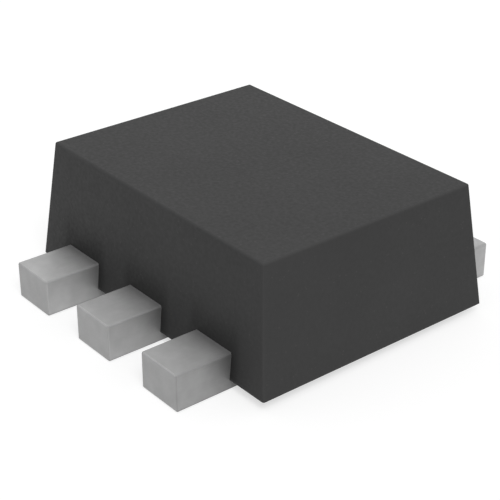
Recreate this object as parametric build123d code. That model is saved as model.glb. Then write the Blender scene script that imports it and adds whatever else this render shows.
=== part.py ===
from build123d import *
import math
import os

# Temperature sensor chip in a six-lead flat-lead package, in millimetres.
# The origin is on the solder plane, below the middle of the body. X runs along
# the rows of leads, Y from lead 2 to lead 5, and Z up through the top.

# Molded body
body_length = 1.70  # along the rows of leads, at the base
body_width = 1.30  # across the rows of leads, at the base
body_height = 0.60  # from the underside to the top
end_lean = 0.075  # how far each end leans in on its way up
side_lean = 0.0575  # how far each long side leans in on its way up
body_edge_radius = 0.010
stand_off = 0.05  # air under the body when the leads lie on a board

# Leads, stamped from one strip
lead_pitch = 0.50
lead_columns = (-1, 0, 1)
lead_width = 0.25
lead_thickness = 0.18
lead_outside = 0.275  # from the foot of the body's side to the tip
lead_edge_radius = 0.010
lead_tip_chamfer = 0.005
foot_inside = 0.055  # flat foot under the body before the bend begins
shelf_rise = 0.14  # the bonding shelf stands this much above the foot
riser_angle = 50.0  # degrees
bend_inside_radius = 0.012
ear_width = 0.060  # the shelf's locking ears stand out this far
ear_length = 0.080
ear_corner_radius = 0.015

# Die pad, die and the glue between them
die_length = 0.64
die_width = 0.32
die_thickness = 0.10
pad_margin = 0.030  # die pad past the die, all round
pad_gap = 0.070  # between the die pad and the ends of the shelves
pad_corner_radius = 0.020
glue_thickness = 0.012
glue_climb = 0.030  # how far the glue creeps up the die
glue_foot = 0.020  # spread of the glue at the pad
glue_lip = 0.005  # spread of the glue at its upper edge

# Bond wires
wire_diameter = 0.020
wire_sides = 8
bond_inset = 0.050  # from the die's edges to the middle of a corner ball
ball_diameter = 0.050
ball_height = 0.012
ball_rounding = 0.40  # share of the ball's height that its rims lean in
ball_sides = 12
loop_height = 0.060  # middle of the wire above the die
loop_level = 0.30  # share of the span before the wire turns down
loop_first_radius = 0.020
loop_second_radius = 0.035
loop_last_radius = 0.030
stitch_length = 0.040  # level end of the wire on the shelf
stitch_diameter = 0.040
stitch_thickness = 0.005
stitch_press = 0.40  # share of the wire's radius that is pressed flat

# Heights and places that follow from the sizes above
bend_radius = bend_inside_radius + lead_thickness / 2
bend_tangent = bend_radius * math.tan(math.radians(riser_angle / 2))
riser_length = shelf_rise / math.sin(math.radians(riser_angle)) - 2 * bend_tangent
riser_run = shelf_rise / math.tan(math.radians(riser_angle))
tip_y = body_width / 2 + lead_outside
bend_start_y = body_width / 2 - foot_inside
shelf_start_y = bend_start_y - riser_run - 2 * bend_tangent
shelf_top = shelf_rise + lead_thickness
pad_length = die_length + 2 * pad_margin
pad_width = die_width + 2 * pad_margin
shelf_end_y = pad_width / 2 + pad_gap
stitch_y = (shelf_start_y + shelf_end_y) / 2
die_base = shelf_top + glue_thickness
die_top = die_base + die_thickness
wire_radius = wire_diameter / 2


def tapered_block(length, width, height, base, lean_x, lean_y):
    """A block whose ends and sides lean in as straight planes on the way up."""
    top = base + height
    along = Polygon(
        (-length / 2, base),
        (length / 2, base),
        (length / 2 - lean_x, top),
        (-length / 2 + lean_x, top),
        align=None,
    )
    across = Polygon(
        (-width / 2, base),
        (width / 2, base),
        (width / 2 - lean_y, top),
        (-width / 2 + lean_y, top),
        align=None,
    )
    long_prism = extrude(Plane.XZ * along, width, both=True)
    cross_prism = extrude(Plane.YZ * across, length, both=True)
    return long_prism & cross_prism


def bar_along(route, section, width_direction):
    """A bar of one section along level runs and tangent arcs, each run an exact solid."""
    bar = Part()
    for run in route.edges():
        start = Plane(origin=run @ 0, x_dir=width_direction, z_dir=run % 0)
        if run.geom_type == GeomType.CIRCLE:
            hinge = Axis(run.arc_center, (run % 0).cross(run % 1))
            bar += revolve(start * section, hinge, (run % 0).get_angle(run % 1))
        else:
            bar += extrude(start * section, run.length)
    return bar


def lead_foot():
    """The straight part of a -Y lead that shows, with its plated, rounded edges."""
    start = Plane(origin=(0, -tip_y, lead_thickness / 2), x_dir=(1, 0, 0), z_dir=(0, 1, 0))
    section = RectangleRounded(lead_width, lead_thickness, lead_edge_radius)
    foot = extrude(start * section, tip_y - bend_start_y)
    tip_edges = foot.faces().sort_by(Axis.Y)[0].edges()
    return chamfer(tip_edges, lead_tip_chamfer)


def lead_bar(inner_y):
    """A -Y lead from its tip, up the riser, to inner_y on the shelf."""
    bend_up = JernArc((-bend_start_y, lead_thickness / 2), (1, 0), bend_radius, riser_angle)
    riser = PolarLine(bend_up @ 1, riser_length, riser_angle)
    bend_back = JernArc(riser @ 1, riser % 1, bend_radius, -riser_angle)
    shelf = Line(bend_back @ 1, (-inner_y, shelf_rise + lead_thickness / 2))
    route = Plane.YZ * Curve([bend_up, riser, bend_back, shelf])
    strip = bar_along(route, Rectangle(lead_width, lead_thickness), (1, 0, 0))
    return lead_foot() + strip


def shelf_head(left_ear, right_ear):
    """The wider end of a shelf, which the compound grips."""
    middle_x = (right_ear - left_ear) / 2
    middle_y = -(shelf_end_y + ear_length / 2)
    outline = RectangleRounded(
        lead_width + left_ear + right_ear, ear_length, ear_corner_radius
    )
    return Pos(middle_x, middle_y, shelf_rise) * extrude(outline, lead_thickness)


def signal_lead(column):
    """A lead of the -Y row that ends in a bonding shelf, at its column."""
    left_ear = ear_width if column >= 0 else 0
    right_ear = ear_width if column <= 0 else 0
    lead = lead_bar(shelf_end_y) + shelf_head(left_ear, right_ear)
    return Pos(column * lead_pitch, 0, 0) * lead


def die_pad_lead():
    """The middle lead of the -Y row, in one piece with the pad that carries the die."""
    outline = RectangleRounded(pad_length, pad_width, pad_corner_radius)
    pad = Pos(0, 0, shelf_rise) * extrude(outline, lead_thickness)
    return lead_bar(0) + pad


def silicon_die():
    middle = Pos(0, 0, die_base + die_thickness / 2)
    return middle * Box(die_length, die_width, die_thickness)


def die_glue(die):
    """The glue bed under the die, with its fillet around the die's foot."""
    bed = tapered_block(
        die_length + 2 * glue_foot,
        die_width + 2 * glue_foot,
        glue_thickness + glue_climb,
        shelf_top,
        glue_foot - glue_lip,
        glue_foot - glue_lip,
    )
    return bed - die


def ball_bond():
    """The squashed ball at the foot of a wire, standing on z = 0."""
    ball = extrude(RegularPolygon(ball_diameter / 2, ball_sides), ball_height)
    rims = ball.edges().filter_by(Plane.XY)
    return chamfer(rims, ball_height * ball_rounding)


def bond_wire(ball_xy, stitch_xy):
    """One wire: ball on the die, loop, and a stitch on the shelf of its lead."""
    span_x = stitch_xy[0] - ball_xy[0]
    span_y = stitch_xy[1] - ball_xy[1]
    span = math.hypot(span_x, span_y)
    heading = math.degrees(math.atan2(span_y, span_x))
    loop_z = die_top + loop_height
    stitch_z = shelf_top + wire_radius * (1 - stitch_press)
    route = FilletPolyline(
        (0, 0, die_top + ball_height),
        (0, 0, loop_z),
        (loop_level * span, 0, loop_z),
        (span - stitch_length, 0, stitch_z),
        (span, 0, stitch_z),
        radius=[loop_first_radius, loop_second_radius, loop_last_radius],
    )
    section = RegularPolygon(
        wire_radius, wire_sides, major_radius=False, rotation=180 / wire_sides
    )
    wire = bar_along(route, section, (0, 1, 0))
    wire += Pos(0, 0, die_top) * ball_bond()
    crescent = extrude(RegularPolygon(stitch_diameter / 2, wire_sides), stitch_thickness)
    wire += Pos(span, 0, shelf_top) * crescent
    pressed = Pos(span, 0, shelf_top) * Box(
        2 * span,
        stitch_diameter,
        wire_diameter,
        align=(Align.CENTER, Align.CENTER, Align.MAX),
    )
    return Pos(*ball_xy, 0) * Rot(0, 0, heading) * (wire - pressed)


def row_wires():
    """The wires of the -Y row, one for each column."""
    last_column = max(lead_columns)
    wires = []
    for column in lead_columns:
        ball_x = column / last_column * (die_length / 2 - bond_inset)
        ball_y = -(die_width / 2 - bond_inset)
        stitch_x = column * (lead_pitch - ear_width / 2)
        wires.append(bond_wire((ball_x, ball_y), (stitch_x, -stitch_y)))
    return wires


def molded_body(inside):
    """The molded body, with room for everything that it was cast around."""
    block = tapered_block(
        body_length, body_width, body_height, stand_off, end_lean, side_lean
    )
    base_edges = block.faces().sort_by(Axis.Z)[0].edges()
    edges = [edge for edge in block.edges() if edge not in base_edges]
    block = fillet(edges, body_edge_radius)
    return block - inside


half_turn = Rot(0, 0, 180)
leads = [signal_lead(column) for column in lead_columns]
wires = row_wires()
far_leads = [half_turn * lead for lead in leads]
far_wires = [half_turn * wire for wire in wires]
leads[1] = die_pad_lead()

pieces = {}
for number, lead in enumerate(leads + far_leads, start=1):
    pieces[f"lead_{number}"] = lead
pieces["silicon_die"] = silicon_die()
pieces["die_attach"] = die_glue(pieces["silicon_die"])
for number, wire in enumerate(wires + far_wires, start=1):
    pieces[f"bond_wire_{number}"] = wire
pieces["molded_body"] = molded_body(list(pieces.values()))

os.makedirs("parts", exist_ok=True)
for name, piece in pieces.items():
    export_step(piece, f"parts/{name}.step")
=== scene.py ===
import math

import bpy
import numpy as np
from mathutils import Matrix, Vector


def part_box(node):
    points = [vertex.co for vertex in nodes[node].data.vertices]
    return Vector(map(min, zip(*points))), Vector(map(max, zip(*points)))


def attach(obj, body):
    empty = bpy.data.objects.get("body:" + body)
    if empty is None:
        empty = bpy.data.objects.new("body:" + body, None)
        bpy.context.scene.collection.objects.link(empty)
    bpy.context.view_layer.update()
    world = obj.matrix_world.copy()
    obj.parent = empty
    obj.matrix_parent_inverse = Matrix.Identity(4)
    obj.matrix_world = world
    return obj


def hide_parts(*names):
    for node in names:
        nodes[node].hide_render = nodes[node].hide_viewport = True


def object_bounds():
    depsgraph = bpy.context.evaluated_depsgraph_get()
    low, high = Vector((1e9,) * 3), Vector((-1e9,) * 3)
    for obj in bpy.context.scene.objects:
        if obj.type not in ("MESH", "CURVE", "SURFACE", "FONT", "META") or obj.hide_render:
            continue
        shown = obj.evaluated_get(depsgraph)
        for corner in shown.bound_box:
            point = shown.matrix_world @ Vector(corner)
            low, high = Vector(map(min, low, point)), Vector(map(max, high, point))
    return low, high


# A temperature sensor chip in a six-lead flat-lead package, in metres.
# X runs along the rows of leads and Z points up through the bare top.

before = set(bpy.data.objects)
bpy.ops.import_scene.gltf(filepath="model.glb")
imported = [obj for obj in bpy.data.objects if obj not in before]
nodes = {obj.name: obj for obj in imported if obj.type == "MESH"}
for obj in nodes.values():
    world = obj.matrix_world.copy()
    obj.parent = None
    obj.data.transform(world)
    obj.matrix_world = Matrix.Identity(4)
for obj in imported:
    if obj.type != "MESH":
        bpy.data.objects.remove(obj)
cadLow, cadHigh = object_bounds()
micron = 1e-6


def footOf(name):
    # lowest and highest corner of the part of a lead that shows outside the body
    mesh = nodes[name].data
    flat = np.empty(len(mesh.vertices) * 3, np.float32)
    mesh.vertices.foreach_get("co", flat)
    points = flat.reshape(-1, 3).astype(float)
    outside = points[np.abs(points[:, 1]) > bodyHigh.y]
    return outside.min(axis=0), outside.max(axis=0)


bodyLow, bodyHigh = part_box("molded_body")
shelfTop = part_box("lead_1")[1].z
footLow, footHigh = footOf("lead_2")
nextFootLow, nextFootHigh = footOf("lead_3")
leadPitch = (nextFootLow[0] + nextFootHigh[0] - footLow[0] - footHigh[0]) / 2
halfLead = float(footHigh[0])
leadTop = float(footHigh[2])
print("stage: frame loaded,", len(nodes), "pieces")


# Small helpers for objects and node trees

nodeSpacing = 180  # between the nodes in the editor


def addObject(name, data):
    thing = bpy.data.objects.new(name, data)
    bpy.context.scene.collection.objects.link(thing)
    return thing


def emptyTree(owner):
    # the node tree of a material or a world, with nothing in it
    owner.use_nodes = True
    owner.node_tree.nodes.clear()
    return owner.node_tree


def findSocket(sockets, name):
    if isinstance(name, int):
        return sockets[name]
    for socket in sockets:
        if socket.identifier == name or socket.name == name:
            return socket
    raise KeyError(name)


def setInputs(tree, node, inputs):
    # each input is linked to a socket, or set to a plain value
    for name, value in inputs.items():
        socket = findSocket(node.inputs, name)
        if isinstance(value, bpy.types.NodeSocket):
            tree.links.new(value, socket)
        else:
            socket.default_value = value


def addNode(tree, kind, inputs, **settings):
    # settings go to the node itself, and inputs to its sockets by their names
    node = tree.nodes.new(kind)
    node.location = (nodeSpacing * len(tree.nodes), 0)
    for name, value in settings.items():
        setattr(node, name, value)
    setInputs(tree, node, inputs)
    return node


def doMath(tree, operation, *values):
    inputs = dict(enumerate(values))
    return addNode(tree, "ShaderNodeMath", inputs, operation=operation).outputs[0]


def doVector(tree, operation, *values):
    inputs = dict(enumerate(values))
    return addNode(tree, "ShaderNodeVectorMath", inputs, operation=operation).outputs[0]


def mixColour(tree, factor, first, second):
    inputs = {"Factor_Float": factor, "A_Color": first, "B_Color": second}
    node = addNode(tree, "ShaderNodeMix", inputs, data_type="RGBA")
    return findSocket(node.outputs, "Result_Color")


def mixValue(tree, factor, first, second):
    inputs = {"Factor_Float": factor, "A_Float": first, "B_Float": second}
    node = addNode(tree, "ShaderNodeMix", inputs, data_type="FLOAT")
    return findSocket(node.outputs, "Result_Float")


def remap(tree, value, fromLow, fromHigh, toLow, toHigh):
    inputs = {
        "Value": value, "From Min": fromLow, "From Max": fromHigh,
        "To Min": toLow, "To Max": toHigh,
    }
    return addNode(tree, "ShaderNodeMapRange", inputs).outputs["Result"]


def scaleVector(tree, vector, factor):
    inputs = {0: vector, "Scale": factor}
    return addNode(tree, "ShaderNodeVectorMath", inputs, operation="SCALE").outputs[0]


def splitVector(tree, vector):
    return addNode(tree, "ShaderNodeSeparateXYZ", {"Vector": vector}).outputs


def startGroup(name, inputs, outputs):
    # inputs and outputs are {socket name: kind of socket}
    group = bpy.data.node_groups.new(name, "ShaderNodeTree")
    for label, kind in inputs.items():
        group.interface.new_socket(label, in_out="INPUT", socket_type=kind)
    for label, kind in outputs.items():
        group.interface.new_socket(label, in_out="OUTPUT", socket_type=kind)
    entry = group.nodes.new("NodeGroupInput")
    leave = group.nodes.new("NodeGroupOutput")
    return group, entry.outputs, leave.inputs


def useGroup(tree, group, inputs):
    return addNode(tree, "ShaderNodeGroup", inputs, node_tree=group).outputs


# Surface effects that several finishes share

floatKind = "NodeSocketFloat"
colourKind = "NodeSocketColor"
vectorKind = "NodeSocketVector"
effectShape = {
    "noiseLow": 0.3,  # nearly all of a noise texture's values lie between these two
    "noiseHigh": 0.7,
    "grainRoughness": 0.55,  # how much the noise's finer layers count
    "toneDetail": 2.0,  # how many finer layers it has
    "toneRoughness": 0.50,
    "streakDetail": 3.0,
    "streakRoughness": 0.60,
    "cellWidth": 2.0,  # of the cells that hold the specks, in specks
    "rimStart": 0.18,  # a speck's rim fades between these distances from its middle, in cells
    "rimEnd": 0.32,
    "edgeSlack": 2 * micron,  # a point that lies this far out still counts as on the box
}


def addNoise(tree, vector, size, detail, roughness):
    # clouds that are size wide, in metres
    scale = doMath(tree, "DIVIDE", 1.0, size)
    inputs = {"Vector": vector, "Scale": scale, "Detail": detail, "Roughness": roughness}
    return addNode(tree, "ShaderNodeTexNoise", inputs).outputs["Fac"]


def makeGrain(look):
    # Even, cloudy grain: Size is the width of one grain in metres. Height runs 0 to 1.
    group, given, result = startGroup(
        "fineGrain",
        {"Vector": vectorKind, "Size": floatKind, "Detail": floatKind},
        {"Height": floatKind},
    )
    roughness = look["grainRoughness"]
    noise = addNoise(group, given["Vector"], given["Size"], given["Detail"], roughness)
    group.links.new(noise, result["Height"])
    return group


def makeTone(look):
    # Slow change of tone: the colour is multiplied by 1 plus or minus Amount.
    group, given, result = startGroup(
        "slowTone",
        {"Vector": vectorKind, "Colour": colourKind, "Size": floatKind, "Amount": floatKind},
        {"Colour": colourKind},
    )
    detail, roughness = look["toneDetail"], look["toneRoughness"]
    noise = addNoise(group, given["Vector"], given["Size"], detail, roughness)
    swing = remap(group, noise, look["noiseLow"], look["noiseHigh"], -1.0, 1.0)
    factor = doMath(group, "MULTIPLY_ADD", swing, given["Amount"], 1.0)
    group.links.new(scaleVector(group, given["Colour"], factor), result["Colour"])
    return group


def makeSpecks(look):
    # Round specks of one Size, in a Share of the cells of a Voronoi pattern.
    group, given, result = startGroup(
        "specks",
        {"Vector": vectorKind, "Size": floatKind, "Share": floatKind},
        {"Mask": floatKind},
    )
    scale = doMath(group, "DIVIDE", 1.0 / look["cellWidth"], given["Size"])
    cells = addNode(group, "ShaderNodeTexVoronoi", {"Vector": given["Vector"], "Scale": scale})
    distance = cells.outputs["Distance"]
    spot = remap(group, distance, look["rimStart"], look["rimEnd"], 1.0, 0.0)
    pick = addNode(group, "ShaderNodeSeparateColor", {"Color": cells.outputs["Color"]})
    chosen = doMath(group, "LESS_THAN", pick.outputs[0], given["Share"])
    group.links.new(doMath(group, "MULTIPLY", spot, chosen), result["Mask"])
    return group


def makeStreaks(look):
    # Fine lines, Width apart, drawn out along the axis whose share in Squeeze is small.
    group, given, result = startGroup(
        "streaks",
        {"Vector": vectorKind, "Squeeze": vectorKind, "Width": floatKind},
        {"Height": floatKind},
    )
    drawn = doVector(group, "MULTIPLY", given["Vector"], given["Squeeze"])
    detail, roughness = look["streakDetail"], look["streakRoughness"]
    group.links.new(addNoise(group, drawn, given["Width"], detail, roughness), result["Height"])
    return group


def makeEdgeMask(look):
    # 1 along the edges of a box whose sides lean in, fading over Width. The gap from a point
    # to each pair of faces is Half less Lean times the height, less the point's own distance
    # from Middle. On the surface the least gap is 0, so the second least is the way to an edge.
    group, given, result = startGroup(
        "edgeMask",
        {
            "Vector": vectorKind, "Middle": vectorKind, "Half": vectorKind,
            "Lean": vectorKind, "Width": floatKind,
        },
        {"Mask": floatKind},
    )
    local = doVector(group, "SUBTRACT", given["Vector"], given["Middle"])
    shrink = scaleVector(group, given["Lean"], splitVector(group, local)["Z"])
    reach = doVector(group, "SUBTRACT", given["Half"], shrink)
    fromMiddle = doVector(group, "ABSOLUTE", local)
    gap = splitVector(group, doVector(group, "SUBTRACT", reach, fromMiddle))
    nearer = doMath(group, "MINIMUM", gap["X"], gap["Y"])
    farther = doMath(group, "MAXIMUM", gap["X"], gap["Y"])
    second = doMath(group, "MAXIMUM", nearer, doMath(group, "MINIMUM", farther, gap["Z"]))
    first = doMath(group, "MINIMUM", nearer, gap["Z"])
    mask = remap(group, second, 0.0, given["Width"], 1.0, 0.0)
    onBox = doMath(group, "GREATER_THAN", first, -look["edgeSlack"])
    group.links.new(doMath(group, "MULTIPLY", mask, onBox), result["Mask"])
    return group


def makePaintedShade():
    # Painted shade round a box. Gap holds how far a point lies outside it in x, y and z, less than
    # 0 inside. Colour is multiplied by Shade at the box, and by 1 from Reach on, smoothly.
    group, given, result = startGroup(
        "softPaintedShade",
        {"Colour": colourKind, "Gap": vectorKind, "Reach": vectorKind, "Shade": floatKind},
        {"Colour": colourKind},
    )
    outside = doVector(group, "MAXIMUM", given["Gap"], (0.0, 0.0, 0.0))
    share = doVector(group, "DIVIDE", outside, given["Reach"])
    away = addNode(group, "ShaderNodeVectorMath", {0: share}, operation="LENGTH")
    fade = addNode(group, "ShaderNodeMapRange", {
        "Value": away.outputs["Value"], "To Min": given["Shade"], "To Max": 1.0,
    }, interpolation_type="SMOOTHSTEP")
    group.links.new(scaleVector(group, given["Colour"], fade.outputs["Result"]), result["Colour"])
    return group


fineGrain = makeGrain(effectShape)
slowTone = makeTone(effectShape)
specks = makeSpecks(effectShape)
streaks = makeStreaks(effectShape)
edgeMask = makeEdgeMask(effectShape)
softPaintedShade = makePaintedShade()
print("stage: shared surface effects made")


# Bond wires

wireShape = {
    "wireRadius": 10 * micron,
    "ballPlace": (270 * micron, 110 * micron),  # an outer ball, from the die's middle
    "stitchPlace": (470 * micron, 321.2 * micron),
    "loopRise": 59 * micron,  # middle of the wire above the die
    "levelShare": 0.30,  # share of the span before the wire turns down
    "stitchRun": 40 * micron,
    "stitchRise": 6 * micron,  # middle of the pressed wire above the shelf
    "turnRadii": (20 * micron, 35 * micron, 30 * micron),
    "turnSpread": 1.5,  # each turn is drawn out to this many times its arc
    "ballRadius": 24 * micron,
    "ballHeight": 12 * micron,
    "ballRim": 6 * micron,  # how far the ball's top and foot draw in
    "neckRadius": 11.5 * micron,
    "neckHeight": 6 * micron,
    "stitchReach": 19 * micron,  # half width of the pressed end, and its length past the bond
    "stitchThickness": 5 * micron,
    "pressRun": 25 * micron,  # the wire flattens over this length
    "sides": 24,
    "ballRows": 9,
    "neckRows": 5,
    "rows": 72,  # from the neck to the stitch
    "tailRows": 9,
    "pathSteps": 800,
}


def wirePath(look, span, drop):
    # The wire lies in an upright plane. Its heading starts straight up and turns three times:
    # to level, down the slope and back to level. Each turn is spread evenly about the middle
    # of its arc by the smooth step 3u^2 - 2u^3. The place is the running sum of
    # (cos heading, sin heading) along the length, scaled to end at the stitch.
    radii = np.array(look["turnRadii"])
    level = look["levelShare"] * span
    slopeRun = span - look["stitchRun"] - level
    slope = np.arctan2(drop, slopeRun)
    turns = np.array([-np.pi / 2, -slope, slope])
    arcs = radii * np.abs(turns)
    cuts = radii * np.tan(np.abs(turns) / 2)
    runs = np.array([look["loopRise"], level, np.hypot(slopeRun, drop), look["stitchRun"]])
    runs -= np.append(cuts, 0) + np.append(0, cuts)
    middles = np.cumsum(runs[:3]) + np.cumsum(arcs) - arcs / 2
    along = np.linspace(0, runs.sum() + arcs.sum(), look["pathSteps"])
    done = np.clip((along[:, None] - middles) / (look["turnSpread"] * arcs) + 0.5, 0, 1)
    heading = np.pi / 2 + (turns * (3 * done ** 2 - 2 * done ** 3)).sum(axis=1)
    steps = np.stack([np.cos(heading), np.sin(heading)])
    place = np.zeros_like(steps)
    place[:, 1:] = np.cumsum((steps[:, 1:] + steps[:, :-1]) / 2 * along[1], axis=1)
    place *= np.array([[span], [look["loopRise"] - drop]]) / place[:, -1:]
    return along, place[0], place[1], heading


def wireRows(look, length):
    # Rows of the profile: place along the wire, half width, half height, and how much of
    # its height above the shelf each row keeps. The ball's rim is half an ellipse, the
    # stitch widens by a smooth step and ends in half an ellipse.
    rim = np.linspace(-np.pi / 2, np.pi / 2, look["ballRows"])
    ballAlong = look["ballHeight"] * (0.5 + 0.5 * np.sin(rim))
    ballWide = look["ballRadius"] - look["ballRim"] * (1 - np.cos(rim))
    neck = np.linspace(0, 1, look["neckRows"])
    neckAlong = look["ballHeight"] + look["neckHeight"] * neck
    neckWide = look["neckRadius"] + (look["wireRadius"] - look["neckRadius"]) * neck
    plainAlong = np.linspace(neckAlong[-1], length, look["rows"])[1:]
    pressed = np.clip((plainAlong - length) / look["pressRun"] + 1, 0, 1)
    pressed = 3 * pressed ** 2 - 2 * pressed ** 3
    plainWide = look["wireRadius"] + (look["stitchReach"] - look["wireRadius"]) * pressed
    tail = np.linspace(0, np.pi / 2, look["tailRows"])[1:-1]
    tailAlong = length + look["stitchReach"] * np.sin(tail)
    tailWide = look["stitchReach"] * np.cos(tail)
    along = np.concatenate([ballAlong, neckAlong, plainAlong, tailAlong])
    wide = np.concatenate([ballWide, neckWide, plainWide, tailWide])
    plainStart = len(ballAlong) + len(neckAlong)
    plainEnd = plainStart + len(plainAlong)
    tall = np.where(np.arange(len(along)) < plainStart, wide, look["wireRadius"])
    least = look["stitchThickness"] / (look["stitchRise"] + look["wireRadius"])
    keep = np.ones(len(along))
    keep[plainStart:plainEnd] = 1 - (1 - least) * pressed
    keep[plainEnd:] = least
    return along, wide, tall, keep


def makeWire(look, name, node, side, row):
    # A point is the path's middle, plus half width times cos(turn) sideways and half height
    # times sin(turn) across the wire. Below the shelf's top it is lifted to it, and
    # near the stitch its height above the shelf is scaled down.
    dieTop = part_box("silicon_die")[1].z
    ball = np.array([side * look["ballPlace"][0], row * look["ballPlace"][1]])
    stitch = np.array([side * look["stitchPlace"][0], row * look["stitchPlace"][1]])
    span = float(np.hypot(*(stitch - ball)))
    ahead = (stitch - ball) / span
    drop = dieTop + look["loopRise"] - shelfTop - look["stitchRise"]
    pathAlong, pathRun, pathRise, pathHeading = wirePath(look, span, drop)
    along, wide, tall, keep = wireRows(look, pathAlong[-1])
    beyond = np.maximum(along - pathAlong[-1], 0)
    run = np.interp(along, pathAlong, pathRun) + beyond
    rise = np.interp(along, pathAlong, pathRise)
    heading = np.interp(along, pathAlong, pathHeading)
    turn = np.arange(look["sides"]) * 2 * np.pi / look["sides"]
    sideways = wide[:, None] * np.cos(turn)
    across = tall[:, None] * np.sin(turn)
    forward = run[:, None] - across * np.sin(heading)[:, None]
    height = dieTop + rise[:, None] + across * np.cos(heading)[:, None]
    overShelf = np.maximum(height - shelfTop, 0) * keep[:, None]
    grid = np.stack([
        ball[0] + ahead[0] * forward - ahead[1] * sideways,
        ball[1] + ahead[1] * forward + ahead[0] * sideways,
        shelfTop + overShelf,
    ], axis=-1)
    straight = np.stack(np.broadcast_arrays(sideways, across, along[:, None]), axis=-1)
    ends = [[*ball, dieTop], [*(stitch + ahead * look["stitchReach"]), shelfTop]]
    straightEnds = [[0, 0, 0], [0, 0, along[-1]]]
    rows, sides = sideways.shape
    first = np.arange(rows - 1)[:, None] * sides
    here = np.arange(sides)
    following = (here + 1) % sides
    quads = np.stack(np.broadcast_arrays(
        first + here, first + following, first + sides + following, first + sides + here,
    ), axis=-1).reshape(-1, 4)
    last = (rows - 1) * sides
    bottom = np.stack([following, here, np.full(sides, rows * sides)], axis=-1)
    top = np.stack([last + here, last + following, np.full(sides, rows * sides + 1)], axis=-1)
    mesh = bpy.data.meshes.new(name)
    vertices = np.concatenate([grid.reshape(-1, 3), ends])
    mesh.from_pydata(vertices.tolist(), [], quads.tolist() + bottom.tolist() + top.tolist())
    mesh.polygons.foreach_set("use_smooth", np.ones(len(mesh.polygons), bool))
    drawn = mesh.attributes.new("drawnPlace", "FLOAT_VECTOR", "POINT")
    drawnPlaces = np.concatenate([straight.reshape(-1, 3), straightEnds])
    drawn.data.foreach_set("vector", drawnPlaces.ravel())
    mesh.update()
    wire = addObject(name, mesh)
    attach(wire, "root")
    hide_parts(node)
    return wire


wirePlaces = [(-1, -1), (0, -1), (1, -1), (1, 1), (0, 1), (-1, 1)]  # column and row
wires = []
for number, (side, row) in enumerate(wirePlaces, start=1):
    name = f"gold_wire_{number}"
    wires.append(makeWire(wireShape, name, f"bond_wire_{number}", side, row))
print("stage: bond wires made,", len(wires), "of them")


# Finishes

def startMaterial(name):
    material = bpy.data.materials.new(name)
    tree = emptyTree(material)
    surface = addNode(tree, "ShaderNodeBsdfPrincipled", {})
    addNode(tree, "ShaderNodeOutputMaterial", {"Surface": surface.outputs["BSDF"]})
    place = addNode(tree, "ShaderNodeTexCoord", {})
    return material, tree, surface, place.outputs["Object"]


def addBump(tree, height, depth, normal=None):
    inputs = {"Height": height, "Distance": depth, "Strength": 1.0}
    if normal is not None:
        inputs["Normal"] = normal
    return addNode(tree, "ShaderNodeBump", inputs).outputs["Normal"]


def roughBy(tree, height, look):
    low = look["roughness"] - look["roughnessSpread"]
    high = look["roughness"] + look["roughnessSpread"]
    noiseLow, noiseHigh = effectShape["noiseLow"], effectShape["noiseHigh"]
    return remap(tree, height, noiseLow, noiseHigh, low, high)


mouldFinish = {
    "colour": (0.053, 0.053, 0.053, 1.0),
    "edgeColour": (0.058, 0.058, 0.058, 1.0),
    "speckColour": (0.068, 0.067, 0.066, 1.0),
    "roughness": 0.60,
    "roughnessSpread": 0.10,
    "specular": 0.09,
    "toneSize": 450 * micron,
    "toneAmount": 0.04,
    "grainSize": 18 * micron,
    "grainDetail": 1.5,
    "grainDepth": 0.28 * micron,
    "waveSize": 90 * micron,
    "waveDetail": 1.0,
    "waveDepth": 0.6 * micron,
    "speckSize": 7 * micron,
    "speckShare": 0.08,
    "edgeWidth": 14 * micron,
    "endLean": 0.125,  # how far the ends lean in for each metre of height
    "sideLean": 0.096,
    "rowPaintedShade": 0.80,  # painted shade: along a row of leads the colour is multiplied by this
    "rowReach": (200 * micron, 200 * micron, 330 * micron),  # beside, inwards and above
    "leadPaintedShade": 0.62,  # painted shade: and round each lead by this as well
    "leadReach": (70 * micron, 70 * micron, 180 * micron),
}


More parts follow.
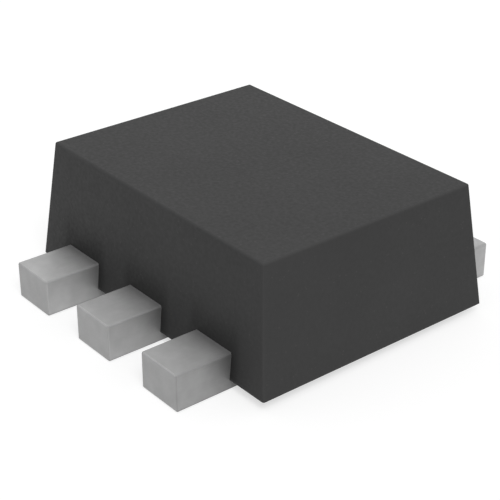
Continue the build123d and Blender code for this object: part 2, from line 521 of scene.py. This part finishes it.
def makeMouldCompound(look):
    material, tree, surface, where = startMaterial("mouldCompound")
    grain = useGroup(tree, fineGrain, {
        "Vector": where, "Size": look["grainSize"], "Detail": look["grainDetail"],
    })
    wave = useGroup(tree, fineGrain, {
        "Vector": where, "Size": look["waveSize"], "Detail": look["waveDetail"],
    })
    toned = useGroup(tree, slowTone, {
        "Vector": where, "Colour": look["colour"],
        "Size": look["toneSize"], "Amount": look["toneAmount"],
    })
    filler = useGroup(tree, specks, {
        "Vector": where, "Size": look["speckSize"], "Share": look["speckShare"],
    })
    middle = (bodyLow + bodyHigh) / 2
    half = (bodyHigh - bodyLow) / 2
    lean = Vector((look["endLean"], look["sideLean"], 0.0))
    edges = useGroup(tree, edgeMask, {
        "Vector": where, "Middle": middle, "Half": half - lean * half.z,
        "Lean": lean, "Width": look["edgeWidth"],
    })
    speckled = mixColour(tree, filler["Mask"], toned["Colour"], look["speckColour"])
    # Painted shade: the compound is darkened along a row of leads, and most where each one leaves
    # it.
    # Both gaps start above the leads and at the leaning side. Along x one starts beside the
    # row and the other beside the nearest lead.
    spot = splitVector(tree, where)
    fromMiddle = doMath(tree, "ABSOLUTE", spot["X"])
    fromOuter = doMath(tree, "SUBTRACT", fromMiddle, leadPitch)
    nearest = doMath(tree, "MINIMUM", fromMiddle, doMath(tree, "ABSOLUTE", fromOuter))
    risen = doMath(tree, "SUBTRACT", spot["Z"], bodyLow.z)
    wall = doMath(tree, "MULTIPLY_ADD", risen, -look["sideLean"], bodyHigh.y)
    inwards = doMath(tree, "SUBTRACT", wall, doMath(tree, "ABSOLUTE", spot["Y"]))
    above = doMath(tree, "SUBTRACT", spot["Z"], leadTop)
    rowGap = addNode(tree, "ShaderNodeCombineXYZ", {
        "X": doMath(tree, "SUBTRACT", fromOuter, halfLead), "Y": inwards, "Z": above,
    })
    leadGap = addNode(tree, "ShaderNodeCombineXYZ", {
        "X": doMath(tree, "SUBTRACT", nearest, halfLead), "Y": inwards, "Z": above,
    })
    rowShadePainted = useGroup(tree, softPaintedShade, {
        "Colour": speckled, "Gap": rowGap.outputs[0],
        "Reach": look["rowReach"], "Shade": look["rowPaintedShade"],
    })
    shadePainted = useGroup(tree, softPaintedShade, {
        "Colour": rowShadePainted["Colour"], "Gap": leadGap.outputs[0],
        "Reach": look["leadReach"], "Shade": look["leadPaintedShade"],
    })
    edged = mixColour(tree, edges["Mask"], shadePainted["Colour"], look["edgeColour"])
    waved = addBump(tree, wave["Height"], look["waveDepth"])
    setInputs(tree, surface, {
        "Base Color": edged,
        "Roughness": roughBy(tree, grain["Height"], look),
        "Specular IOR Level": look["specular"],
        "Normal": addBump(tree, grain["Height"], look["grainDepth"], waved),
    })
    return material


leadFinish = {
    "tinColour": (0.472, 0.472, 0.472, 1.0),
    "edgeColour": (0.35, 0.35, 0.35, 1.0),  # darker on the long rolled-over edges: painted shade over their highlight; they are rougher there too
    "tinMetallic": 0.37,  # matte tin, part bright and part cloudy
    "roughness": 0.50,
    "roughnessSpread": 0.06,
    "toneSize": 70 * micron,
    "toneAmount": 0.06,
    "crystalSize": 9 * micron,
    "crystalDetail": 1.0,
    "crystalDepth": 0.15 * micron,
    "lineWidth": 9 * micron,
    "rolledSqueeze": (1.0, 0.04, 1.0),  # rolled lines run along the lead
    "rolledDepth": 0.07 * micron,
    "cutSqueeze": (1.0, 1.0, 0.08),  # the tip was cut from top to bottom
    "cutDepth": 0.16 * micron,
    "tipDepth": 4 * micron,
    "rootPaintedShade": 0.35,  # painted shade: what the tin's colour is multiplied by, at the top of the root
    "rootCurve": 2.7,  # 1 spreads the painted shade evenly from the tip to the root, more keeps it to the root
    "rootLow": 0.50,  # share of that painted shade at the foot
    "cutPaintedShade": 0.80,  # painted shade: what it is multiplied by on the cut end
    "outerPaintedShade": 0.79,  # painted shade: and on the outer side of leads 3 and 6
    "innerPaintedLight": 1.10,  # painted light: and on the inner side of leads 1 and 4
    "edgeWidth": 12 * micron,
    "edgeRoughness": 0.75,
    "copperColour": (0.78, 0.44, 0.30, 1.0),
    "copperWithin": 600 * micron,  # the strip is bare copper inside the body
    "copperAbove": 60 * micron,
    "silverColour": (0.84, 0.83, 0.80, 1.0),  # and silvered on its top, for the bonds
}


def makeLeadFinish(look):
    material, tree, surface, where = startMaterial("tinnedLead")
    spot = splitVector(tree, where)
    outwards = doMath(tree, "ABSOLUTE", spot["Y"])
    crystals = useGroup(tree, fineGrain, {
        "Vector": where, "Size": look["crystalSize"], "Detail": look["crystalDetail"],
    })
    rolled = useGroup(tree, streaks, {
        "Vector": where, "Squeeze": look["rolledSqueeze"], "Width": look["lineWidth"],
    })
    sheared = useGroup(tree, streaks, {
        "Vector": where, "Squeeze": look["cutSqueeze"], "Width": look["lineWidth"],
    })
    # All six feet are alike, so x is wrapped to one pitch and one box serves for them all.
    # It is longer than a foot, so that only the long, rolled-over edges are marked.
    wrapped = doMath(tree, "WRAP", spot["X"], leadPitch / 2, -leadPitch / 2)
    inFoot = addNode(tree, "ShaderNodeCombineXYZ", {"X": wrapped, "Y": spot["Y"], "Z": spot["Z"]})
    edges = useGroup(tree, edgeMask, {
        "Vector": inFoot.outputs[0], "Middle": (0.0, 0.0, leadTop / 2),
        "Half": (halfLead, 2 * cadHigh.y, leadTop / 2), "Width": look["edgeWidth"],
    })
    # the darker edge colour is painted shade over the highlight of the rounded long edges
    edged = mixColour(tree, edges["Mask"], look["tinColour"], look["edgeColour"])
    # The tin is brightest at the tip. Painted shade darkens it on a curve towards the body, more
    # at the top of the lead than at its foot, and a little on the sheared end. At the ends of a
    # row one outer side gets painted shade and one inner side painted light.
    onTip = doMath(tree, "GREATER_THAN", outwards, cadHigh.y - look["tipDepth"])
    nearBody = remap(tree, outwards, bodyHigh.y, cadHigh.y, 1.0, 0.0)
    fall = doMath(tree, "POWER", nearBody, look["rootCurve"])
    byHeight = remap(tree, spot["Z"], 0.0, leadTop, look["rootLow"], 1.0)
    root = mixValue(tree, doMath(tree, "MULTIPLY", fall, byHeight), 1.0, look["rootPaintedShade"])
    rowEnd = leadPitch + halfLead
    alongRow = doMath(tree, "MULTIPLY", spot["X"], doMath(tree, "SIGN", spot["Y"]))
    outer = remap(tree, alongRow, -rowEnd, look["edgeWidth"] - rowEnd, look["outerPaintedShade"], 1.0)
    fromInner = doMath(tree, "ABSOLUTE", doMath(tree, "ADD", alongRow, halfLead - leadPitch))
    inner = remap(tree, fromInner, 0.0, look["edgeWidth"], look["innerPaintedLight"], 1.0)
    sides = doMath(tree, "MULTIPLY", outer, inner)
    cut = mixValue(tree, onTip, 1.0, look["cutPaintedShade"])
    shade = doMath(tree, "MULTIPLY", doMath(tree, "MULTIPLY", root, sides), cut)
    tin = scaleVector(tree, edged, shade)
    deep = doMath(tree, "LESS_THAN", outwards, look["copperWithin"])
    raised = doMath(tree, "GREATER_THAN", spot["Z"], look["copperAbove"])
    bare = doMath(tree, "MULTIPLY", deep, raised)
    silvered = doMath(tree, "GREATER_THAN", spot["Z"], shelfTop - micron)
    strip = mixColour(tree, silvered, look["copperColour"], look["silverColour"])
    toned = useGroup(tree, slowTone, {
        "Vector": where, "Colour": mixColour(tree, bare, tin, strip),
        "Size": look["toneSize"], "Amount": look["toneAmount"],
    })
    faintly = doMath(tree, "MULTIPLY", rolled["Height"], look["rolledDepth"] / look["cutDepth"])
    worked = mixValue(tree, onTip, faintly, sheared["Height"])
    lined = addBump(tree, worked, look["cutDepth"])
    smooth = roughBy(tree, rolled["Height"], look)
    setInputs(tree, surface, {
        "Base Color": toned["Colour"],
        "Metallic": mixValue(tree, bare, look["tinMetallic"], 1.0),
        "Roughness": mixValue(tree, edges["Mask"], smooth, look["edgeRoughness"]),
        "Normal": addBump(tree, crystals["Height"], look["crystalDepth"], lined),
    })
    return material


glueFinish = {
    "colour": (0.50, 0.49, 0.46, 1.0),
    "flakeColour": (0.74, 0.73, 0.70, 1.0),
    "metallic": 0.60,
    "roughness": 0.45,
    "roughnessSpread": 0.12,
    "flakeSize": 5 * micron,
    "flakeShare": 0.40,
    "grainSize": 11 * micron,
    "grainDetail": 1.5,
    "grainDepth": 0.9 * micron,
}


def makeSilverGlue(look):
    material, tree, surface, where = startMaterial("silverGlue")
    grain = useGroup(tree, fineGrain, {
        "Vector": where, "Size": look["grainSize"], "Detail": look["grainDetail"],
    })
    flakes = useGroup(tree, specks, {
        "Vector": where, "Size": look["flakeSize"], "Share": look["flakeShare"],
    })
    setInputs(tree, surface, {
        "Base Color": mixColour(tree, flakes["Mask"], look["colour"], look["flakeColour"]),
        "Metallic": look["metallic"],
        "Roughness": roughBy(tree, grain["Height"], look),
        "Normal": addBump(tree, grain["Height"], look["grainDepth"]),
    })
    return material


dieFinish = {
    "sawnColour": (0.15, 0.15, 0.16, 1.0),
    "circuitColour": (0.085, 0.095, 0.150, 1.0),
    "channelColour": (0.035, 0.040, 0.060, 1.0),
    "metalColour": (0.78, 0.78, 0.77, 1.0),
    "circuitMetallic": 0.35,
    "roughness": 0.30,
    "roughnessSpread": 0.06,
    "blockSize": (46 * micron, 34 * micron, 1.0),
    "blockTones": (0.55, 1.15),
    "cellSize": (11 * micron, 4 * micron, 1.0),
    "cellTone": 0.3,
    "channelShare": 0.09,  # of a block's width, along two of its sides
    "padHalf": 31 * micron,
    "ringInset": 9 * micron,
    "ringHalf": 2.5 * micron,
    "reliefDepth": 0.8 * micron,  # of the metal above the channels
    "circuitRise": 0.6,  # share of it that the circuit blocks stand up
    "sawSqueeze": (0.05, 0.05, 1.0),
    "sawWidth": 5 * micron,
}


def makeDieFinish(look):
    # Blocks and cells of circuit: the place is snapped to a raster and each field of it
    # gets one tone. Bond pads stand where the balls are, and a ring follows the edges.
    material, tree, surface, where = startMaterial("siliconDie")
    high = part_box("silicon_die")[1]
    blocks = doVector(tree, "SNAP", where, look["blockSize"])
    cells = doVector(tree, "SNAP", where, look["cellSize"])
    blockNoise = addNode(tree, "ShaderNodeTexWhiteNoise", {"Vector": blocks}).outputs["Value"]
    cellNoise = addNode(tree, "ShaderNodeTexWhiteNoise", {"Vector": cells}).outputs["Value"]
    blockTone = remap(tree, blockNoise, 0.0, 1.0, *look["blockTones"])
    tone = doMath(tree, "MULTIPLY_ADD", cellNoise, look["cellTone"], blockTone)
    counted = doVector(tree, "DIVIDE", where, look["blockSize"])
    inBlock = splitVector(tree, doVector(tree, "FRACTION", counted))
    leastShare = doMath(tree, "MINIMUM", inBlock["X"], inBlock["Y"])
    channel = doMath(tree, "LESS_THAN", leastShare, look["channelShare"])
    blockColour = scaleVector(tree, look["circuitColour"][:3], tone)
    circuit = mixColour(tree, channel, blockColour, look["channelColour"])
    folded = splitVector(tree, doVector(tree, "ABSOLUTE", where))
    ballX, ballY = wireShape["ballPlace"]
    fromOuter = doMath(tree, "ABSOLUTE", doMath(tree, "SUBTRACT", folded["X"], ballX))
    besideX = doMath(tree, "MINIMUM", folded["X"], fromOuter)
    besideY = doMath(tree, "ABSOLUTE", doMath(tree, "SUBTRACT", folded["Y"], ballY))
    beside = doMath(tree, "MAXIMUM", besideX, besideY)
    pad = doMath(tree, "LESS_THAN", beside, look["padHalf"])
    gapX = doMath(tree, "SUBTRACT", high.x, folded["X"])
    gapY = doMath(tree, "SUBTRACT", high.y, folded["Y"])
    fromEdge = doMath(tree, "MINIMUM", gapX, gapY)
    offRing = doMath(tree, "ABSOLUTE", doMath(tree, "SUBTRACT", fromEdge, look["ringInset"]))
    ring = doMath(tree, "LESS_THAN", offRing, look["ringHalf"])
    metal = doMath(tree, "MAXIMUM", pad, ring)
    onTop = doMath(tree, "GREATER_THAN", splitVector(tree, where)["Z"], high.z - micron)
    face = mixColour(tree, metal, circuit, look["metalColour"])
    faceMetallic = mixValue(tree, metal, look["circuitMetallic"], 1.0)
    sawn = useGroup(tree, streaks, {
        "Vector": where, "Squeeze": look["sawSqueeze"], "Width": look["sawWidth"],
    })
    circuitHeight = mixValue(tree, channel, look["circuitRise"], 0.0)
    relief = doMath(tree, "MAXIMUM", metal, circuitHeight)
    worked = mixValue(tree, onTop, sawn["Height"], relief)
    setInputs(tree, surface, {
        "Base Color": mixColour(tree, onTop, look["sawnColour"], face),
        "Metallic": doMath(tree, "MULTIPLY", onTop, faceMetallic),
        "Roughness": roughBy(tree, sawn["Height"], look),
        "Normal": addBump(tree, worked, look["reliefDepth"]),
    })
    return material


goldFinish = {
    "colour": (1.0, 0.74, 0.32, 1.0),
    "metallic": 1.0,
    "roughness": 0.24,
    "roughnessSpread": 0.06,
    "toneSize": 40 * micron,
    "toneAmount": 0.05,
    "drawnSqueeze": (1.0, 1.0, 0.05),  # drawn lines run along the wire
    "drawnWidth": 4 * micron,
    "drawnDepth": 0.1 * micron,
}


def makeGoldWire(look):
    material, tree, surface, where = startMaterial("goldWire")
    drawn = addNode(tree, "ShaderNodeAttribute", {}, attribute_name="drawnPlace").outputs["Vector"]
    lines = useGroup(tree, streaks, {
        "Vector": drawn, "Squeeze": look["drawnSqueeze"], "Width": look["drawnWidth"],
    })
    toned = useGroup(tree, slowTone, {
        "Vector": where, "Colour": look["colour"],
        "Size": look["toneSize"], "Amount": look["toneAmount"],
    })
    setInputs(tree, surface, {
        "Base Color": toned["Colour"],
        "Metallic": look["metallic"],
        "Roughness": roughBy(tree, lines["Height"], look),
        "Normal": addBump(tree, lines["Height"], look["drawnDepth"]),
    })
    return material


def dress(piece, material):
    piece.data.materials.clear()
    piece.data.materials.append(material)


goldWire = makeGoldWire(goldFinish)
finishes = {
    "molded_body": makeMouldCompound(mouldFinish),
    "silicon_die": makeDieFinish(dieFinish),
    "die_attach": makeSilverGlue(glueFinish),
    "lead": makeLeadFinish(leadFinish),
    "bond_wire": goldWire,
}
for name, node in nodes.items():
    dress(node, finishes[name.rstrip("_123456")])  # a lead's or wire's name without its number
for wire in wires:
    dress(wire, goldWire)
print("stage: finishes made and given out")


# Floor, light and camera

studio = {
    "white": (1.0, 1.0, 1.0, 1.0),
    "floorSize": 0.4,
    "floorDrop": 1 * micron,  # keeps the floor and the undersides of the leads apart
    "floorColour": (0.45, 0.45, 0.45, 1.0),
    "floorGlow": 0.62,  # only seen, not cast: brings the lit floor up to white
    "skyLevel": 0.60,
    "keyLevel": 0.44,
    "keyDirection": (0.54, -0.30, 0.79),  # towards the light
    "keySpread": math.radians(30),
}


def seenRays(tree):
    # 1 for what the camera sees, whether straight, mirrored or through glass
    rays = addNode(tree, "ShaderNodeLightPath", {}).outputs
    seen = doMath(tree, "MAXIMUM", rays["Is Camera Ray"], rays["Is Glossy Ray"])
    return doMath(tree, "MAXIMUM", seen, rays["Is Transmission Ray"])


def makeFloor(look):
    # a level square, floorSize each way, just under the leads
    half = look["floorSize"] / 2
    mesh = bpy.data.meshes.new("floor")
    corners = np.array([(-1, -1, 0), (1, -1, 0), (1, 1, 0), (-1, 1, 0)]) * half
    corners[:, 2] = -look["floorDrop"]
    mesh.from_pydata(corners.tolist(), [], [(0, 1, 2, 3)])
    floor = addObject("floor", mesh)
    material = bpy.data.materials.new("paleFloor")
    tree = emptyTree(material)
    strength = doMath(tree, "MULTIPLY", seenRays(tree), look["floorGlow"])
    matte = addNode(tree, "ShaderNodeBsdfDiffuse", {"Color": look["floorColour"]})
    glow = addNode(tree, "ShaderNodeEmission", {"Color": look["white"], "Strength": strength})
    both = addNode(tree, "ShaderNodeAddShader", {0: matte.outputs[0], 1: glow.outputs[0]})
    # From below the floor is clear, so that the underside can be looked at.
    below = addNode(tree, "ShaderNodeNewGeometry", {}).outputs["Backfacing"]
    clear = addNode(tree, "ShaderNodeBsdfTransparent", {})
    either = addNode(tree, "ShaderNodeMixShader", {
        0: below, 1: both.outputs[0], 2: clear.outputs[0],
    })
    addNode(tree, "ShaderNodeOutputMaterial", {"Surface": either.outputs[0]})
    mesh.materials.append(material)


def makeSky(look):
    world = bpy.data.worlds.new("studioSky")
    bpy.context.scene.world = world
    tree = emptyTree(world)
    level = remap(tree, seenRays(tree), 0.0, 1.0, look["skyLevel"], 1.0)
    sky = addNode(tree, "ShaderNodeBackground", {"Color": look["white"], "Strength": level})
    addNode(tree, "ShaderNodeOutputWorld", {"Surface": sky.outputs[0]})


def makeKeyLight(look):
    lamp = bpy.data.lights.new("key", "SUN")
    lamp.energy = look["keyLevel"] * math.pi
    lamp.angle = look["keySpread"]
    key = addObject("key", lamp)
    key.rotation_mode = "QUATERNION"
    key.rotation_quaternion = Vector(look["keyDirection"]).to_track_quat("Z", "Y")


photoView = {
    "azimuth": math.radians(51.02),
    "elevation": math.radians(28.17),
    "distance": 6.5505e-3,
    "target": (0.0662e-3, -0.0865e-3, 0.25e-3),
    "lens": 101.43,
    "sensor": 36.0,
    "clipReach": 100,  # it sees from the distance over this to the distance times this
}


def makeCamera(look):
    turn, rise = look["azimuth"], look["elevation"]
    back = Vector((
        math.sin(turn) * math.cos(rise), -math.cos(turn) * math.cos(rise), math.sin(rise),
    ))
    lens = bpy.data.cameras.new("photoCamera")
    lens.lens = look["lens"]
    lens.sensor_width = look["sensor"]
    lens.clip_start = look["distance"] / look["clipReach"]
    lens.clip_end = look["distance"] * look["clipReach"]
    camera = addObject("photoCamera", lens)
    camera.location = Vector(look["target"]) + back * look["distance"]
    camera.rotation_mode = "QUATERNION"
    camera.rotation_quaternion = (-back).to_track_quat("-Z", "Y")
    bpy.context.scene.camera = camera


makeFloor(studio)
makeSky(studio)
makeKeyLight(studio)
makeCamera(photoView)
bpy.context.scene.view_settings.view_transform = "Standard"
print("stage: floor, light and camera set")
